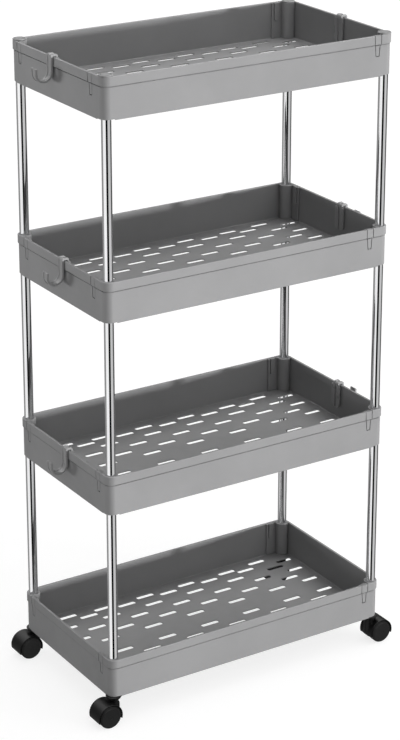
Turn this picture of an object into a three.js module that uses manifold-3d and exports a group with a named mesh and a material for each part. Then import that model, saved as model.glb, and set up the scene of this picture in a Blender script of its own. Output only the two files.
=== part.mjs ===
// Slim rolling storage cart: four slotted trays on chrome corner tubes, hooks over the end rims,
// and four twin-wheel swivel casters.
// Millimetres, +Z up. The origin is on the ground under the middle of the cart, +X runs along the
// long side and +Y from the front wall to the back wall.

import * as THREE from "three";
import { mergeGeometries, mergeVertices } from "three/addons/utils/BufferGeometryUtils.js";
import Module from "manifold-3d";

const wasm = await Module();
wasm.setup();

// ---------------------------------------------------------------- driving dimensions

// Gap kept between two pieces that meet, and how far a cutter runs past the face it cuts
const GAP = 0.3;
const CUT = 1;

// Tray, measured over its rim band; heights are below the rim's top
const TRAY_LENGTH = 400;
const TRAY_WIDTH = 220;
const TRAY_HEIGHT = 50.5;
const TRAY_PITCH = 240;
const RIM_RADIUS = 11;
const BAND_HEIGHT = 11;
const BAND_PROUD = 1.2;
const WALL = 2;
const FLOOR_DEPTH = 46;
const FLOOR_THICKNESS = 1.6;

// Corner tubes and the sockets that hold them
const TUBE_RADIUS = 5.85;
const TUBE_BORE_RADIUS = 4.85;
const SOCKET_RADIUS = TUBE_RADIUS + GAP;
const POLE_INSET = 9;
const POLE_X = TRAY_LENGTH / 2 - POLE_INSET;
const POLE_Y = TRAY_WIDTH / 2 - POLE_INSET;
const BOSS_RADIUS = 8.5;
const CORNER_FOOT_DEPTH = TRAY_HEIGHT - 1.2;
const CORNER_LIFT_RADIUS = 10.2;
const WEB_TOP_DEPTH = 22.5;
const WEB_FOOT_DEPTH = 27.5;
const WEB_RADIUS = 6.5;

// Corner sleeve: a C-shaped half socket with a strip along one wall and a T-shaped key in it
const SLEEVE_TOP_DEPTH = 0.5;
const STRIP_THICKNESS = 1.5;
const STRIP_PAST_KEY = 7;
const KEY_TAB_WIDTH = 8.6;
const KEY_TONGUE_WIDTH = 6;
const KEY_TIP_WIDTH = 4;
const KEY_DEPTH = 25;
const KEY_RIB_WIDTH = 7;
const KEY_RIB_DEPTH = 24;
const KEY_RIB_PROUD = 1;
const NEAR_KEY = 15;
const FAR_KEY = 20;

// Floor slots, in rows that run along the tray
const SLOT_LENGTH = 25;
const END_SLOT_LENGTH = 22.5;
const SLOT_WIDTH = 7;
const COLUMN_PITCH = 63.5;
const ROW_PITCH = 17.1;
const END_COLUMN_X = 178.8;

// The two rows next to a long wall, which bend near the tray's ends to follow its corners
const WALL_ROW_Y = 84.3;
const WALL_ROW_BEND = [120.6, 83.2];
const WALL_ROW_END = [180, 80];
const EDGE_ROW_Y = 91.3;
const EDGE_ROW_END = [145.4, 95];

// Caps that close the top tray's sockets
const CAP_RADIUS = 8.3;
const CAP_HEIGHT = 1.2;
const CAP_PLUG_LENGTH = 14;

// Hooks that hang over an end rim
const HOOK_WIDTH = 10.7;
const HOOK_THICKNESS = 2.8;
const HOOK_CLEARANCE = 0.4;
const HOOK_BEND_RADIUS = 8.8;
const HOOK_BEND_DEPTH = 17.3;
const HOOK_TIP_DEPTH = 12.4;
const HOOK_SHOULDER_RADIUS = 1.8;
const HOOK_TOP = 3.4;
const HOOK_LEG_WIDTH = 16.5;
const HOOK_LEG_DEPTH = 31;
const HOOK_LEG_ROUND = 5.5;

// Casters; heights are above the ground
const WHEEL_RADIUS = 14.7;
const WHEEL_SIDES = 16;
const WHEEL_INNER_FACE = 3.6;
const WHEEL_OUTER_FACE = 12.9;
const WHEEL_EDGE = 1.2;
const WHEEL_BORE_END = 11.3;
const AXLE_RADIUS = 2.5;
const AXLE_END = 11;
const CASTER_TRAIL = 11;
const HOOD_RADIUS = 16.6;
const HOOD_BORE_RADIUS = 15.3;
const HOOD_HALF_WIDTH = 12.4;
const HOOD_HEM_DROP = 4.5;
const HOOD_WEB_HALF = 3.2;
const NECK_RADIUS = 5.9;
const COLLAR_RADIUS = 9.9;
const COLLAR_FOOT_RADIUS = 8.4;
const COLLAR_HEIGHT = 4;
const PIN_RADIUS = 3;
const PIN_LENGTH = 3.4;
const PIN_TIP_RADIUS = 1.8;
const PIN_TIP_LENGTH = 8.5;
const HOOD_SIDES = 20;
const ROUND_SIDES = 12;

// Heights above the ground that follow from the sizes above
const BOTTOM_RIM_HEIGHT = 87;
const WHEEL_AXIS_HEIGHT = WHEEL_RADIUS * Math.cos(Math.PI / WHEEL_SIDES);
const COLLAR_TOP_HEIGHT = BOTTOM_RIM_HEIGHT - CORNER_FOOT_DEPTH - GAP;
const COLLAR_FOOT_HEIGHT = COLLAR_TOP_HEIGHT - COLLAR_HEIGHT;

const CORNERS = [
  { name: "front_left", sx: -1, sy: -1 },
  { name: "front_right", sx: 1, sy: -1 },
  { name: "back_left", sx: -1, sy: 1 },
  { name: "back_right", sx: 1, sy: 1 },
];

// Which wall each corner's key sits in ("side" is a long wall, "end" a short one), and how far from
// the tube's axis; hookY is where the left and right hooks hang, and the bottom tray has none.
const TRAYS = [
  {
    name: "bottom",
    keys: {
      front_left: ["end", NEAR_KEY],
      front_right: ["side", NEAR_KEY],
      back_left: ["end", NEAR_KEY],
      back_right: ["side", NEAR_KEY],
    },
  },
  {
    name: "lower",
    hookY: { left: -9.5, right: -13 },
    keys: {
      front_left: ["end", NEAR_KEY],
      front_right: ["side", NEAR_KEY],
      back_left: ["end", NEAR_KEY],
      back_right: ["side", NEAR_KEY],
    },
  },
  {
    name: "upper",
    hookY: { left: -9.5, right: -13 },
    keys: {
      front_left: ["end", FAR_KEY],
      front_right: ["side", FAR_KEY],
      back_left: ["end", FAR_KEY],
      back_right: ["end", NEAR_KEY],
    },
  },
  {
    name: "top",
    hookY: { left: 7.5, right: -4 },
    keys: {
      front_left: ["end", FAR_KEY],
      front_right: ["side", NEAR_KEY],
      back_left: ["end", NEAR_KEY],
      back_right: ["side", NEAR_KEY],
    },
  },
];

// ---------------------------------------------------------------- materials

const grey = new THREE.MeshStandardMaterial({ color: 0x8c8c8c, roughness: 0.55, metalness: 0 });
const chrome = new THREE.MeshStandardMaterial({ color: 0xd8d8d8, roughness: 0.12, metalness: 1 });
const black = new THREE.MeshStandardMaterial({ color: 0x1c1c1c, roughness: 0.45, metalness: 0 });
const tread = new THREE.MeshStandardMaterial({ color: 0x141414, roughness: 0.6, metalness: 0 });
const steel = new THREE.MeshStandardMaterial({ color: 0x2a2a2a, roughness: 0.5, metalness: 0.2 });

// ---------------------------------------------------------------- geometry helpers

// Turns a mirrored geometry's faces outward again
function flipFaces(geometry) {
  const order = geometry.index.array;
  for (let i = 0; i < order.length; i += 3) {
    const first = order[i];
    order[i] = order[i + 1];
    order[i + 1] = first;
  }
  return geometry;
}

// One closed mesh with shared vertices and no collapsed triangles
function weld(geometry) {
  const bare = geometry.clone();
  bare.deleteAttribute("normal");
  bare.deleteAttribute("uv");
  const merged = mergeVertices(bare, 1e-4);
  const order = Array.from(merged.index.array);
  const kept = [];
  for (let i = 0; i < order.length; i += 3) {
    const [a, b, c] = order.slice(i, i + 3);
    if (a !== b && b !== c && c !== a) {
      kept.push(a, b, c);
    }
  }
  merged.setIndex(kept);
  return merged;
}

function toSolid(geometry) {
  const merged = weld(geometry);
  return new wasm.Manifold(new wasm.Mesh({
    numProp: 3,
    vertProperties: Float32Array.from(merged.attributes.position.array),
    triVerts: Uint32Array.from(merged.index.array),
  }));
}

function toGeometry(solid) {
  const mesh = solid.getMesh();
  const geometry = new THREE.BufferGeometry();
  geometry.setAttribute("position", new THREE.BufferAttribute(mesh.vertProperties, 3));
  geometry.setIndex(new THREE.BufferAttribute(mesh.triVerts, 1));
  geometry.computeVertexNormals();
  return geometry;
}

function prism(shape, low, high, curveSegments = 2) {
  const geometry = new THREE.ExtrudeGeometry(shape, {
    depth: high - low,
    bevelEnabled: false,
    curveSegments,
  });
  return geometry.translate(0, 0, low);
}

function box(x, y, z) {
  const geometry = new THREE.BoxGeometry(x[1] - x[0], y[1] - y[0], z[1] - z[0]);
  return geometry.translate((x[0] + x[1]) / 2, (y[0] + y[1]) / 2, (z[0] + z[1]) / 2);
}

function cylinder(radius, low, high, sides, x = 0, y = 0) {
  const geometry = new THREE.CylinderGeometry(radius, radius, high - low, sides);
  return geometry.rotateX(Math.PI / 2).translate(x, y, (low + high) / 2);
}

// A turned piece on the Z axis; the profile runs from its top to its foot as [radius, z] pairs
function turned(profile, sides) {
  const points = profile.map(([radius, z]) => new THREE.Vector2(radius, z)).reverse();
  return weld(new THREE.LatheGeometry(points, sides).rotateX(Math.PI / 2));
}

function roundedRect(length, width, radius) {
  const a = length / 2 - radius;
  const b = width / 2 - radius;
  const shape = new THREE.Shape();
  shape.absarc(a, b, radius, 0, Math.PI / 2);
  shape.absarc(-a, b, radius, Math.PI / 2, Math.PI);
  shape.absarc(-a, -b, radius, Math.PI, 1.5 * Math.PI);
  shape.absarc(a, -b, radius, 1.5 * Math.PI, 2 * Math.PI);
  return shape;
}

// The tray's plan outline, a given distance in from the outside of the rim band
function trayOutline(inset) {
  return roundedRect(TRAY_LENGTH - 2 * inset, TRAY_WIDTH - 2 * inset, RIM_RADIUS - inset);
}

// Puts a geometry drawn around a tube's axis into its corner of the tray. In the drawing +y points
// out through the wall that holds the key, and +x out through the corner's other wall.
function intoCorner(geometry, corner, wall) {
  const place = new THREE.Matrix4();
  if (wall === "side") {
    place.makeBasis(
      new THREE.Vector3(corner.sx, 0, 0),
      new THREE.Vector3(0, corner.sy, 0),
      new THREE.Vector3(0, 0, 1),
    );
  } else {
    place.makeBasis(
      new THREE.Vector3(0, corner.sy, 0),
      new THREE.Vector3(corner.sx, 0, 0),
      new THREE.Vector3(0, 0, 1),
    );
  }
  place.setPosition(corner.sx * POLE_X, corner.sy * POLE_Y, 0);
  const placed = weld(geometry).applyMatrix4(place);
  return place.determinant() < 0 ? flipFaces(placed) : placed;
}

// ---------------------------------------------------------------- tray body

// Centres and lengths of the slots in one quarter of the floor; x = 0 lies on the middle line
function quarterSlots() {
  const slots = [];
  for (const row of [1, 3]) {
    for (const column of [0, 1, 2]) {
      slots.push([column * COLUMN_PITCH, row * ROW_PITCH, SLOT_LENGTH]);
    }
    slots.push([END_COLUMN_X, row * ROW_PITCH, END_SLOT_LENGTH]);
  }
  for (const row of [2, 4]) {
    for (const column of [0.5, 1.5, 2.5]) {
      slots.push([column * COLUMN_PITCH, row * ROW_PITCH, SLOT_LENGTH]);
    }
  }
  slots.push([0, WALL_ROW_Y, SLOT_LENGTH]);
  slots.push([COLUMN_PITCH, WALL_ROW_Y, SLOT_LENGTH]);
  slots.push([...WALL_ROW_BEND, SLOT_LENGTH]);
  slots.push([...WALL_ROW_END, END_SLOT_LENGTH]);
  slots.push([0.5 * COLUMN_PITCH, EDGE_ROW_Y, SLOT_LENGTH]);
  slots.push([1.5 * COLUMN_PITCH, EDGE_ROW_Y, SLOT_LENGTH]);
  slots.push([...EDGE_ROW_END, SLOT_LENGTH]);
  return slots;
}

function slotCutters() {
  const depth = [-FLOOR_DEPTH - FLOOR_THICKNESS - CUT, -FLOOR_DEPTH + CUT];
  const boxes = [];
  for (const [x, y, length] of quarterSlots()) {
    for (const sx of x === 0 ? [1] : [-1, 1]) {
      for (const sy of [-1, 1]) {
        const alongX = [sx * x - length / 2, sx * x + length / 2];
        const alongY = [sy * y - SLOT_WIDTH / 2, sy * y + SLOT_WIDTH / 2];
        boxes.push(box(alongX, alongY, depth));
      }
    }
  }
  return toSolid(mergeGeometries(boxes));
}

// The T-shaped key's outline, seen from outside the wall and drawn around its own middle line;
// grow widens it all round for the notch that it fits
function keyTab(distance, grow, outerFace) {
  const half = KEY_TAB_WIDTH / 2 + grow;
  const foot = -BAND_HEIGHT - grow;
  const top = grow > 0 ? CUT : 0;
  const inner = POLE_INSET - BAND_PROUD - WALL - GAP;
  return box([-distance - half, -distance + half], [inner, outerFace], [foot, top]);
}

function keyTongue(distance, grow, outerFace) {
  const upper = KEY_TONGUE_WIDTH / 2 + grow;
  const lower = KEY_TIP_WIDTH / 2 + grow;
  const foot = -KEY_DEPTH - grow;
  const top = -BAND_HEIGHT;
  const inner = POLE_INSET - BAND_PROUD - WALL - GAP;
  const shape = new THREE.Shape();
  shape.moveTo(-distance - lower, foot);
  shape.lineTo(-distance + lower, foot);
  shape.lineTo(-distance + upper, top + CUT);
  shape.lineTo(-distance - upper, top + CUT);
  // Drawn standing up, then turned so that its depth runs out through the wall
  return prism(shape, -outerFace, -inner).rotateX(Math.PI / 2);
}

function trayBody(tray, slots) {
  const floorFoot = -FLOOR_DEPTH - FLOOR_THICKNESS;
  const wallPrism = toSolid(prism(trayOutline(BAND_PROUD), -TRAY_HEIGHT, 0));
  const inside = BAND_PROUD + WALL;
  let body = wallPrism
    .add(toSolid(prism(trayOutline(0), -BAND_HEIGHT, 0)))
    .subtract(toSolid(prism(trayOutline(inside), -FLOOR_DEPTH, CUT)))
    .subtract(toSolid(prism(trayOutline(inside), -TRAY_HEIGHT - CUT, floorFoot)));
  for (const corner of CORNERS) {
    const x = corner.sx * POLE_X;
    const y = corner.sy * POLE_Y;
    const round = (radius, low, high) => toSolid(cylinder(radius, low, high, ROUND_SIDES, x, y));
    const foot = round(BOSS_RADIUS, -CORNER_FOOT_DEPTH, -FLOOR_DEPTH - GAP).intersect(wallPrism);
    const web = cornerWeb(corner);
    body = body
      .add(foot)
      .add(web)
      .subtract(round(CORNER_LIFT_RADIUS, -TRAY_HEIGHT - CUT, -CORNER_FOOT_DEPTH))
      .subtract(round(SOCKET_RADIUS, -TRAY_HEIGHT - CUT, -WEB_FOOT_DEPTH))
      .subtract(round(SOCKET_RADIUS, -WEB_TOP_DEPTH, CUT));
    const [wall, distance] = tray.keys[corner.name];
    const tab = keyTab(distance, GAP, POLE_INSET + CUT);
    const tongue = keyTongue(distance, GAP, POLE_INSET + CUT);
    body = body
      .subtract(toSolid(intoCorner(tab, corner, wall)))
      .subtract(toSolid(intoCorner(tongue, corner, wall)));
  }
  return toGeometry(body.subtract(slots));
}

// The shelf between a corner's upper and lower tube: round, and reaching into the corner's skin
function cornerWeb(corner) {
  const x = corner.sx * POLE_X;
  const y = corner.sy * POLE_Y;
  const level = [-WEB_FOOT_DEPTH, -WEB_TOP_DEPTH];
  const reach = toSolid(cylinder(WEB_RADIUS, ...level, ROUND_SIDES, x, y));
  const disc = toSolid(cylinder(TUBE_RADIUS, ...level, ROUND_SIDES, x, y));
  const outwardX = [Math.min(x, x + corner.sx * POLE_INSET), Math.max(x, x + corner.sx * POLE_INSET)];
  const outwardY = [Math.min(y, y + corner.sy * POLE_INSET), Math.max(y, y + corner.sy * POLE_INSET)];
  return reach.intersect(toSolid(box(outwardX, outwardY, level))).add(disc);
}

// ---------------------------------------------------------------- corner sleeve

function sleeve(distance) {
  const low = -FLOOR_DEPTH + GAP;
  const high = -SLEEVE_TOP_DEPTH;
  const wallFace = POLE_INSET - BAND_PROUD - WALL - GAP;
  const ring = toSolid(cylinder(BOSS_RADIUS, low, high, ROUND_SIDES))
    .subtract(toSolid(cylinder(SOCKET_RADIUS, low - CUT, high + CUT, ROUND_SIDES)))
    .intersect(toSolid(box([-BOSS_RADIUS, wallFace], [-BOSS_RADIUS, wallFace], [low, high])))
    .subtract(toSolid(box([0, BOSS_RADIUS], [0, BOSS_RADIUS], [low - CUT, high + CUT])));
  const stripEnd = -distance - STRIP_PAST_KEY;
  const stripFace = wallFace - STRIP_THICKNESS;
  const strip = box([stripEnd, -SOCKET_RADIUS], [stripFace, wallFace], [low, high]);
  const ribX = [-distance - KEY_RIB_WIDTH / 2, -distance + KEY_RIB_WIDTH / 2];
  const rib = box(ribX, [stripFace - KEY_RIB_PROUD, stripFace + CUT], [-KEY_RIB_DEPTH, high]);
  // The key reaches a little into the strip so that the pieces join
  const tab = keyTab(distance, 0, POLE_INSET);
  const tongue = keyTongue(distance, 0, POLE_INSET - BAND_PROUD);
  const root = box(ribX, [stripFace, wallFace], [-KEY_DEPTH, high]);
  return toGeometry(ring
    .add(toSolid(strip))
    .add(toSolid(rib))
    .add(toSolid(root))
    .add(toSolid(tab))
    .add(toSolid(tongue)));
}

// ---------------------------------------------------------------- tubes and caps

function tube() {
  const length = TRAY_PITCH - WEB_FOOT_DEPTH + WEB_TOP_DEPTH - 2 * GAP;
  return turned([
    [TUBE_BORE_RADIUS, length],
    [TUBE_RADIUS, length],
    [TUBE_RADIUS, 0],
    [TUBE_BORE_RADIUS, 0],
    [TUBE_BORE_RADIUS, length],
  ], ROUND_SIDES);
}

function cap() {
  return turned([
    [0, GAP + CAP_HEIGHT],
    [CAP_RADIUS, GAP + CAP_HEIGHT],
    [CAP_RADIUS, GAP],
    [TUBE_RADIUS, GAP],
    [TUBE_RADIUS, -CAP_PLUG_LENGTH],
    [0, -CAP_PLUG_LENGTH],
  ], ROUND_SIDES);
}

// ---------------------------------------------------------------- hook

// Side view of the hook: x runs outward from the rim's outer face, y is the height over the rim
function hookProfile() {
  const innerFace = -BAND_PROUD - WALL - HOOK_CLEARANCE;
  const back = innerFace - HOOK_THICKNESS;
  const outerFace = HOOK_CLEARANCE + HOOK_THICKNESS;
  const bendX = outerFace + HOOK_BEND_RADIUS;
  const bendOuter = HOOK_BEND_RADIUS + HOOK_THICKNESS;
  const shoulder = HOOK_TOP - HOOK_SHOULDER_RADIUS;
  const tipX = bendX + HOOK_BEND_RADIUS + HOOK_THICKNESS / 2;
  const legFoot = -HOOK_SHOULDER_RADIUS;
  const shape = new THREE.Shape();
  shape.moveTo(innerFace, legFoot);
  shape.lineTo(back, legFoot);
  shape.absarc(back + HOOK_SHOULDER_RADIUS, shoulder, HOOK_SHOULDER_RADIUS, Math.PI, Math.PI / 2, true);
  shape.absarc(outerFace - HOOK_SHOULDER_RADIUS, shoulder, HOOK_SHOULDER_RADIUS, Math.PI / 2, 0, true);
  shape.absarc(bendX, -HOOK_BEND_DEPTH, HOOK_BEND_RADIUS, Math.PI, 2 * Math.PI);
  shape.absarc(tipX, -HOOK_TIP_DEPTH, HOOK_THICKNESS / 2, Math.PI, 0, true);
  shape.absarc(bendX, -HOOK_BEND_DEPTH, bendOuter, 0, -Math.PI, true);
  shape.lineTo(HOOK_CLEARANCE, HOOK_TOP - HOOK_THICKNESS);
  shape.lineTo(innerFace, HOOK_TOP - HOOK_THICKNESS);
  return shape;
}

// Inner leg, seen from inside the tray: a plate with a rounded foot
function hookLegOutline() {
  const half = HOOK_LEG_WIDTH / 2;
  const round = HOOK_LEG_ROUND;
  const foot = -HOOK_LEG_DEPTH + round;
  const shape = new THREE.Shape();
  shape.moveTo(-half, 0);
  shape.lineTo(-half, foot);
  shape.absarc(-half + round, foot, round, Math.PI, 1.5 * Math.PI);
  shape.absarc(half - round, foot, round, 1.5 * Math.PI, 2 * Math.PI);
  shape.lineTo(half, 0);
  return shape;
}

// A hook that hangs outward along +X from a rim whose outer face is at x = 0
function hook() {
  const strip = prism(hookProfile(), -HOOK_WIDTH / 2, HOOK_WIDTH / 2, 3).rotateX(Math.PI / 2);
  const innerFace = -BAND_PROUD - WALL - HOOK_CLEARANCE;
  const leg = prism(hookLegOutline(), innerFace - HOOK_THICKNESS, innerFace)
    .rotateX(Math.PI / 2)
    .rotateZ(Math.PI / 2);
  return toGeometry(toSolid(strip).add(toSolid(leg)));
}

// ---------------------------------------------------------------- caster

// The stem stays in the tray's socket; the caster body turns on the pin below its collar
function casterStem() {
  const spigotTop = BOTTOM_RIM_HEIGHT - WEB_FOOT_DEPTH - GAP;
  const pinFoot = COLLAR_FOOT_HEIGHT - PIN_LENGTH;
  return turned([
    [0, spigotTop],
    [TUBE_RADIUS, spigotTop],
    [TUBE_RADIUS, COLLAR_TOP_HEIGHT],
    [COLLAR_RADIUS, COLLAR_TOP_HEIGHT],
    [COLLAR_FOOT_RADIUS, COLLAR_FOOT_HEIGHT],
    [PIN_RADIUS, COLLAR_FOOT_HEIGHT],
    [PIN_RADIUS, pinFoot],
    [PIN_TIP_RADIUS, pinFoot],
    [PIN_TIP_RADIUS, pinFoot - PIN_TIP_LENGTH],
    [0, pinFoot - PIN_TIP_LENGTH],
  ], ROUND_SIDES);
}

// A cylinder along Y around the wheel's axis
function roundAlongAxle(radius, sides, low, high) {
  const geometry = new THREE.CylinderGeometry(radius, radius, high - low, sides);
  return geometry.translate(0, (low + high) / 2, 0).translate(-CASTER_TRAIL, 0, WHEEL_AXIS_HEIGHT);
}

// Hood over both wheels, with the web between them, the neck under the stem and the axle's ends
function casterBody() {
  const neckTop = COLLAR_FOOT_HEIGHT - GAP;
  const hem = WHEEL_AXIS_HEIGHT - HOOD_HEM_DROP;
  const wide = [-CASTER_TRAIL - 2 * HOOD_RADIUS, 2 * HOOD_RADIUS];
  const pinHole = cylinder(PIN_RADIUS + GAP, neckTop - PIN_LENGTH, neckTop + CUT, ROUND_SIDES);
  const tipFoot = neckTop - PIN_LENGTH - PIN_TIP_LENGTH;
  const tipHole = cylinder(PIN_TIP_RADIUS + GAP, tipFoot, neckTop, ROUND_SIDES);
  const below = box(wide, [-HOOD_RADIUS, HOOD_RADIUS], [-HOOD_RADIUS, hem]);
  let body = toSolid(roundAlongAxle(HOOD_RADIUS, HOOD_SIDES, -HOOD_HALF_WIDTH, HOOD_HALF_WIDTH))
    .add(toSolid(cylinder(NECK_RADIUS, WHEEL_AXIS_HEIGHT, neckTop, ROUND_SIDES)));
  for (const side of [-1, 1]) {
    const ends = [side * HOOD_WEB_HALF, side * (HOOD_HALF_WIDTH + CUT)].sort((a, b) => a - b);
    body = body.subtract(toSolid(roundAlongAxle(HOOD_BORE_RADIUS, HOOD_SIDES, ...ends)));
  }
  return toGeometry(body
    .subtract(toSolid(below))
    .subtract(toSolid(pinHole))
    .subtract(toSolid(tipHole))
    .add(toSolid(roundAlongAxle(AXLE_RADIUS, ROUND_SIDES, -AXLE_END, AXLE_END))));
}

// A wheel drawn on the Z axis with its outer face up, then laid along +Y
function casterWheel() {
  const bore = AXLE_RADIUS + GAP;
  const profile = turned([
    [0, WHEEL_OUTER_FACE],
    [WHEEL_RADIUS - WHEEL_EDGE, WHEEL_OUTER_FACE],
    [WHEEL_RADIUS, WHEEL_OUTER_FACE - WHEEL_EDGE],
    [WHEEL_RADIUS, WHEEL_INNER_FACE],
    [bore, WHEEL_INNER_FACE],
    [bore, WHEEL_BORE_END],
    [0, WHEEL_BORE_END],
  ], WHEEL_SIDES);
  // Half a side's turn, so that the wheel stands on a flat
  return profile.rotateZ(Math.PI / WHEEL_SIDES + Math.PI / 2).rotateX(-Math.PI / 2);
}

// ---------------------------------------------------------------- assembly

const cart = new THREE.Group();

function addPiece(parent, name, geometry, material) {
  const mesh = new THREE.Mesh(geometry, material);
  mesh.name = name;
  parent.add(mesh);
  return mesh;
}

function addTrays() {
  const slots = slotCutters();
  const sleeves = { [NEAR_KEY]: sleeve(NEAR_KEY), [FAR_KEY]: sleeve(FAR_KEY) };
  TRAYS.forEach((tray, level) => {
    const group = new THREE.Group();
    group.position.z = BOTTOM_RIM_HEIGHT + level * TRAY_PITCH;
    cart.add(group);
    addPiece(group, `${tray.name}_tray`, trayBody(tray, slots), grey);
    for (const corner of CORNERS) {
      const [wall, distance] = tray.keys[corner.name];
      const geometry = intoCorner(sleeves[distance], corner, wall);
      addPiece(group, `${tray.name}_tray_sleeve_${corner.name}`, geometry, grey);
    }
    if (tray.hookY) {
      addHooks(group, tray);
    }
  });
}

function addHooks(group, tray) {
  const left = addPiece(group, `${tray.name}_tray_hook_left`, hook(), grey);
  left.position.set(-TRAY_LENGTH / 2, tray.hookY.left, 0);
  left.rotation.z = Math.PI;
  const right = addPiece(group, `${tray.name}_tray_hook_right`, hook(), grey);
  right.position.set(TRAY_LENGTH / 2, tray.hookY.right, 0);
}

function addTubes() {
  ["bottom", "middle", "top"].forEach((tier, level) => {
    for (const corner of CORNERS) {
      const mesh = addPiece(cart, `${tier}_tube_${corner.name}`, tube(), chrome);
      const foot = BOTTOM_RIM_HEIGHT + level * TRAY_PITCH - WEB_TOP_DEPTH + GAP;
      mesh.position.set(corner.sx * POLE_X, corner.sy * POLE_Y, foot);
    }
  });
}

function addCaps() {
  const rim = BOTTOM_RIM_HEIGHT + (TRAYS.length - 1) * TRAY_PITCH;
  for (const corner of CORNERS) {
    const mesh = addPiece(cart, `socket_cap_${corner.name}`, cap(), grey);
    mesh.position.set(corner.sx * POLE_X, corner.sy * POLE_Y, rim);
  }
}

// Three casters trail to the left; the front right one is turned to trail to the right
function addCasters() {
  for (const corner of CORNERS) {
    const name = `caster_${corner.name}`;
    const stem = addPiece(cart, `${name}_stem`, casterStem(), steel);
    stem.position.set(corner.sx * POLE_X, corner.sy * POLE_Y, 0);
    const swivel = new THREE.Group();
    swivel.position.set(corner.sx * POLE_X, corner.sy * POLE_Y, 0);
    swivel.rotation.z = corner.name === "front_right" ? Math.PI : 0;
    cart.add(swivel);
    addPiece(swivel, `${name}_hood`, casterBody(), black);
    for (const side of [-1, 1]) {
      const facesBack = (side > 0) === (swivel.rotation.z === 0);
      const wheelName = `${name}_wheel_${facesBack ? "back" : "front"}`;
      const wheel = addPiece(swivel, wheelName, casterWheel(), tread);
      wheel.position.set(-CASTER_TRAIL, 0, WHEEL_AXIS_HEIGHT);
      wheel.rotation.z = side > 0 ? 0 : Math.PI;
    }
  }
}

addTrays();
addTubes();
addCaps();
addCasters();

export default cart;
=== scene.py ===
"""Slim rolling storage cart: slotted plastic trays on chrome tubes, rim hooks and swivel casters.

Drawn in millimetres and scaled to metres as each mesh is finished. Every tray piece is drawn with
the top of its rim at height 0, and every caster piece with the ground at height 0.
"""

import math

import bmesh
import bpy
from mathutils import Matrix, Vector

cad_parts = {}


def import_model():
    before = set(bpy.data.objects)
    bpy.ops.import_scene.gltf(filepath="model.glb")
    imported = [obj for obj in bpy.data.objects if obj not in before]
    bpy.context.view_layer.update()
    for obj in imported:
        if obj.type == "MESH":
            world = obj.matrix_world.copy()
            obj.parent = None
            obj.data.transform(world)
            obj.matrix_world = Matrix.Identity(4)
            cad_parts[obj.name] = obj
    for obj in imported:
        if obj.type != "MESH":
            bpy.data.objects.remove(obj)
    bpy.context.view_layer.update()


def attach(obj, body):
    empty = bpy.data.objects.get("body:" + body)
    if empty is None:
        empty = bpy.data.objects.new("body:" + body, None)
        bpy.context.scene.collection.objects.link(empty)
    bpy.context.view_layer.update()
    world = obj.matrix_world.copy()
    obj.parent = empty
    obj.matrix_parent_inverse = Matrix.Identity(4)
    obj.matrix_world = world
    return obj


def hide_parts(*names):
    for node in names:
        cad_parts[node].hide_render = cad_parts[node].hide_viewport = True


MM = 0.001

# ---------------------------------------------------------------- sizes that the CAD model sets

TRAY_LENGTH = 400
TRAY_WIDTH = 220
TRAY_PITCH = 240
TRAY_HEIGHT = 50.5
BOTTOM_RIM = 87
RIM_RADIUS = 11
BAND_HEIGHT = 11
BAND_PROUD = 1.2
WALL = 2
FLOOR_DEPTH = 46
FLOOR_THICKNESS = 1.6
INSIDE = BAND_PROUD + WALL
FLOOR_FOOT = -FLOOR_DEPTH - FLOOR_THICKNESS
POLE_INSET = 9
POLE_X = TRAY_LENGTH / 2 - POLE_INSET
POLE_Y = TRAY_WIDTH / 2 - POLE_INSET
TUBE_RADIUS = 5.85
TUBE_BORE_RADIUS = 4.85
SOCKET_RADIUS = 6.15
BOSS_RADIUS = 8.5
CORNER_FOOT_DEPTH = 49.3
CORNER_LIFT_RADIUS = 10.2
WEB_TOP_DEPTH = 22.5
WEB_FOOT_DEPTH = 27.5
CAP_RADIUS = 8.3
CAP_THICKNESS = 1.2
CAP_PLUG_DEPTH = 14
GAP = 0.3

SLOT_LENGTH = 25
END_SLOT_LENGTH = 22.5
SLOT_WIDTH = 7
COLUMN_PITCH = 63.5
ROW_PITCH = 17.1
END_COLUMN_X = 178.8
SLOT_ROUND = 2.2
WALL_ROW_Y = 84.3
WALL_ROW_BEND = (120.6, 83.2)
WALL_ROW_END = (180, 80)
EDGE_ROW_Y = 91.3
EDGE_ROW_END = (145.4, 95)

NEAR_KEY = 15
FAR_KEY = 20
KEY_TAB_WIDTH = 8.6
KEY_TONGUE_WIDTH = 6
KEY_TIP_WIDTH = 4
KEY_DEPTH = 25
KEY_GROOVE = 0.8
KEY_RECESS = 0.05
KEY_TOP = -0.15
KEY_SLOT_TOP = 0.5
KEY_ROOT = 0.4
KEY_SLOT_DEPTH = 0.6
GROOVE_HEIGHT = 1.2
GROOVE_DEPTH = 1.3
GROOVE_CORNER_RADIUS = 6.5
TAB_HALF_WIDTH = 3.5
TAB_DEPTH = 24
TAB_GROOVE = 0.7
TAB_FACE = 2.5
SLEEVE_TOP = -0.5
STRIP_THICKNESS = 1.5
STRIP_REACH = 7
CORNER_SKIN = 0.25
FILLING_OVERLAP = 0.35

HOOK_WIDTH = 10.7
HOOK_THICKNESS = 2.8
HOOK_TOP = 3.4
HOOK_BEND_X = 12
HOOK_BEND_DEPTH = 17.3
HOOK_TIP_DEPTH = 12.4
HOOK_TURN = 1.6
HOOK_CLEARANCE = 0.4
HOOK_LEG_FACE = -3.6
HOOK_LEG_WIDTH = 16.5
HOOK_LEG_DEPTH = 31
HOOK_LEG_ROUND = 5.5
HOOK_LEG_PLATE = 1.5
HOOK_LEG_UNDERCUT = 1.3
HOOK_LEG_RIB = 6.3
HOOK_LEG_RIB_TOP = -1.2
HOOK_LEG_RIB_PROUD = 0.3
HOOK_RIB_WIDTH = 2.2
HOOK_HOLLOW = (0.8, 2.7)

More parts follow.
